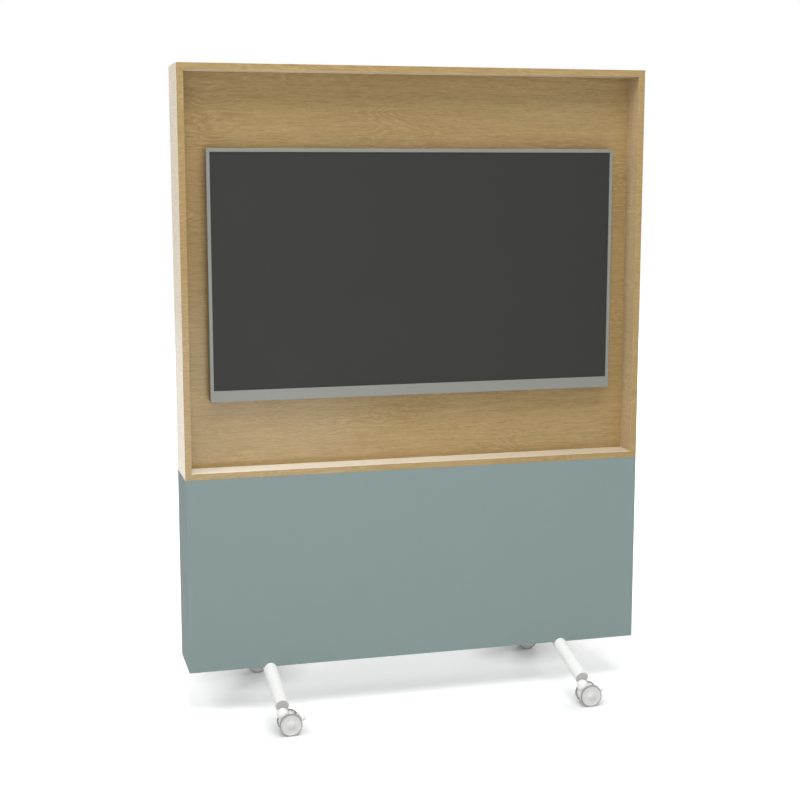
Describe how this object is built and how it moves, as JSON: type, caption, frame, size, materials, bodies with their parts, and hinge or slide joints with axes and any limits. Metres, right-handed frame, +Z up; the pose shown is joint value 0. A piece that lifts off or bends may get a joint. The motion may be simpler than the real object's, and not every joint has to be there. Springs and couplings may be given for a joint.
{
  "type": "mobile monitor wall",
  "caption": "Rolling display wall: open oak-look case with a recessed flat monitor on a closed sage case, carried by bent tube feet on braked swivel casters with thin twin discs.",
  "frame": {"origin": "on the floor, below the middle of the case", "axes": "+Z up, -Y towards the front (screen side), +X to the right seen from the front"},
  "size_m": [1.4, 0.622, 1.895],
  "materials": {
    "oak_decor": "oak grain decor foil, satin",
    "sage_decor": "plain grey-green decor foil, matt",
    "white_coat": "white powder coat, satin",
    "steel_coat": "dark powder coat, matt",
    "zinc_steel": "zinc plated",
    "grey_plastic": "moulded, matt",
    "monitor_silver": "silver-grey, fine satin",
    "screen_dark": "dark, matt",
    "cover_dark": "moulded, fine texture",
    "plug_grey": "moulded, matt",
    "caster_light": "moulded, satin",
    "caster_grey": "moulded, satin",
    "tread_grey": "soft tread, matt"
  },
  "bodies": {
    "wall": {"oak_side_left": "oak_decor", "oak_side_right": "oak_decor", "oak_top": "oak_decor", "oak_shelf": "oak_decor", "carrier_panel": "oak_decor", "upper_rear_panel": "oak_decor", "sage_front_panel": "sage_decor", "sage_rear_panel": "sage_decor", "sage_side_left": "sage_decor", "sage_side_right": "sage_decor", "base_board": "sage_decor", "foot_left": "white_coat", "foot_right": "white_coat", "upright_left": "steel_coat", "upright_right": "steel_coat", "frame_bolts": "zinc_steel", "cable_grommet": "grey_plastic", "monitor_bezel": "monitor_silver", "monitor_screen": "screen_dark", "monitor_rear_cover": "cover_dark", "wall_rail": "steel_coat", "hook_arm_left": "steel_coat", "hook_arm_right": "steel_coat", "bracket_screws": "zinc_steel", "tube_plugs": "plug_grey", "caster_stems": "zinc_steel", "caster_front_left_knuckle": "white_coat", "caster_front_right_knuckle": "white_coat", "caster_rear_left_knuckle": "white_coat", "caster_rear_right_knuckle": "white_coat"},
    "caster_front_left_swivel": {"caster_front_left_body": "white_coat", "caster_front_left_axle": "zinc_steel"},
    "caster_front_left_front_disc": {"caster_front_left_wheel_front": "caster_light", "caster_front_left_tyre_front": "tread_grey"},
    "caster_front_left_rear_disc": {"caster_front_left_wheel_rear": "caster_light", "caster_front_left_tyre_rear": "tread_grey"},
    "caster_front_left_pedal": {"caster_front_left_brake_pedal": "caster_grey"},
    "caster_front_right_swivel": {"caster_front_right_body": "white_coat", "caster_front_right_axle": "zinc_steel"},
    "caster_front_right_front_disc": {"caster_front_right_wheel_front": "caster_light", "caster_front_right_tyre_front": "tread_grey"},
    "caster_front_right_rear_disc": {"caster_front_right_wheel_rear": "caster_light", "caster_front_right_tyre_rear": "tread_grey"},
    "caster_front_right_pedal": {"caster_front_right_brake_pedal": "caster_grey"},
    "caster_rear_left_swivel": {"caster_rear_left_body": "white_coat", "caster_rear_left_axle": "zinc_steel"},
    "caster_rear_left_front_disc": {"caster_rear_left_wheel_front": "caster_light", "caster_rear_left_tyre_front": "tread_grey"},
    "caster_rear_left_rear_disc": {"caster_rear_left_wheel_rear": "caster_light", "caster_rear_left_tyre_rear": "tread_grey"},
    "caster_rear_left_pedal": {"caster_rear_left_brake_pedal": "caster_grey"},
    "caster_rear_right_swivel": {"caster_rear_right_body": "white_coat", "caster_rear_right_axle": "zinc_steel"},
    "caster_rear_right_front_disc": {"caster_rear_right_wheel_front": "caster_light", "caster_rear_right_tyre_front": "tread_grey"},
    "caster_rear_right_rear_disc": {"caster_rear_right_wheel_rear": "caster_light", "caster_rear_right_tyre_rear": "tread_grey"},
    "caster_rear_right_pedal": {"caster_rear_right_brake_pedal": "caster_grey"}
  },
  "joints": [
    {"name": "caster_front_left_swivel_turn", "type": "hinge", "parent": "wall", "child": "caster_front_left_swivel", "pos_m": [-0.4595, -0.282, 0.061], "axis": [0, 0, 1], "continuous": true},
    {"name": "caster_front_left_front_disc_roll", "type": "hinge", "parent": "caster_front_left_swivel", "child": "caster_front_left_front_disc", "pos_m": [-0.4395, -0.282, 0.033], "axis": [0, 1, 0], "continuous": true},
    {"name": "caster_front_left_rear_disc_roll", "type": "hinge", "parent": "caster_front_left_swivel", "child": "caster_front_left_rear_disc", "pos_m": [-0.4395, -0.282, 0.033], "axis": [0, 1, 0], "continuous": true},
    {"name": "caster_front_left_pedal_press", "type": "hinge", "parent": "caster_front_left_swivel", "child": "caster_front_left_pedal", "pos_m": [-0.4245, -0.282, 0.042], "axis": [0, 1, 0], "range_deg": [0, 14]},
    {"name": "caster_front_right_swivel_turn", "type": "hinge", "parent": "wall", "child": "caster_front_right_swivel", "pos_m": [0.4595, -0.282, 0.061], "axis": [0, 0, 1], "continuous": true},
    {"name": "caster_front_right_front_disc_roll", "type": "hinge", "parent": "caster_front_right_swivel", "child": "caster_front_right_front_disc", "pos_m": [0.4795, -0.282, 0.033], "axis": [0, 1, 0], "continuous": true},
    {"name": "caster_front_right_rear_disc_roll", "type": "hinge", "parent": "caster_front_right_swivel", "child": "caster_front_right_rear_disc", "pos_m": [0.4795, -0.282, 0.033], "axis": [0, 1, 0], "continuous": true},
    {"name": "caster_front_right_pedal_press", "type": "hinge", "parent": "caster_front_right_swivel", "child": "caster_front_right_pedal", "pos_m": [0.4945, -0.282, 0.042], "axis": [0, 1, 0], "range_deg": [0, 14]},
    {"name": "caster_rear_left_swivel_turn", "type": "hinge", "parent": "wall", "child": "caster_rear_left_swivel", "pos_m": [-0.4595, 0.282, 0.061], "axis": [0, 0, 1], "continuous": true},
    {"name": "caster_rear_left_front_disc_roll", "type": "hinge", "parent": "caster_rear_left_swivel", "child": "caster_rear_left_front_disc", "pos_m": [-0.4395, 0.282, 0.033], "axis": [0, 1, 0], "continuous": true},
    {"name": "caster_rear_left_rear_disc_roll", "type": "hinge", "parent": "caster_rear_left_swivel", "child": "caster_rear_left_rear_disc", "pos_m": [-0.4395, 0.282, 0.033], "axis": [0, 1, 0], "continuous": true},
    {"name": "caster_rear_left_pedal_press", "type": "hinge", "parent": "caster_rear_left_swivel", "child": "caster_rear_left_pedal", "pos_m": [-0.4245, 0.282, 0.042], "axis": [0, 1, 0], "range_deg": [0, 14]},
    {"name": "caster_rear_right_swivel_turn", "type": "hinge", "parent": "wall", "child": "caster_rear_right_swivel", "pos_m": [0.4595, 0.282, 0.061], "axis": [0, 0, 1], "continuous": true},
    {"name": "caster_rear_right_front_disc_roll", "type": "hinge", "parent": "caster_rear_right_swivel", "child": "caster_rear_right_front_disc", "pos_m": [0.4795, 0.282, 0.033], "axis": [0, 1, 0], "continuous": true},
    {"name": "caster_rear_right_rear_disc_roll", "type": "hinge", "parent": "caster_rear_right_swivel", "child": "caster_rear_right_rear_disc", "pos_m": [0.4795, 0.282, 0.033], "axis": [0, 1, 0], "continuous": true},
    {"name": "caster_rear_right_pedal_press", "type": "hinge", "parent": "caster_rear_right_swivel", "child": "caster_rear_right_pedal", "pos_m": [0.4945, 0.282, 0.042], "axis": [0, 1, 0], "range_deg": [0, 14]}
  ]
}
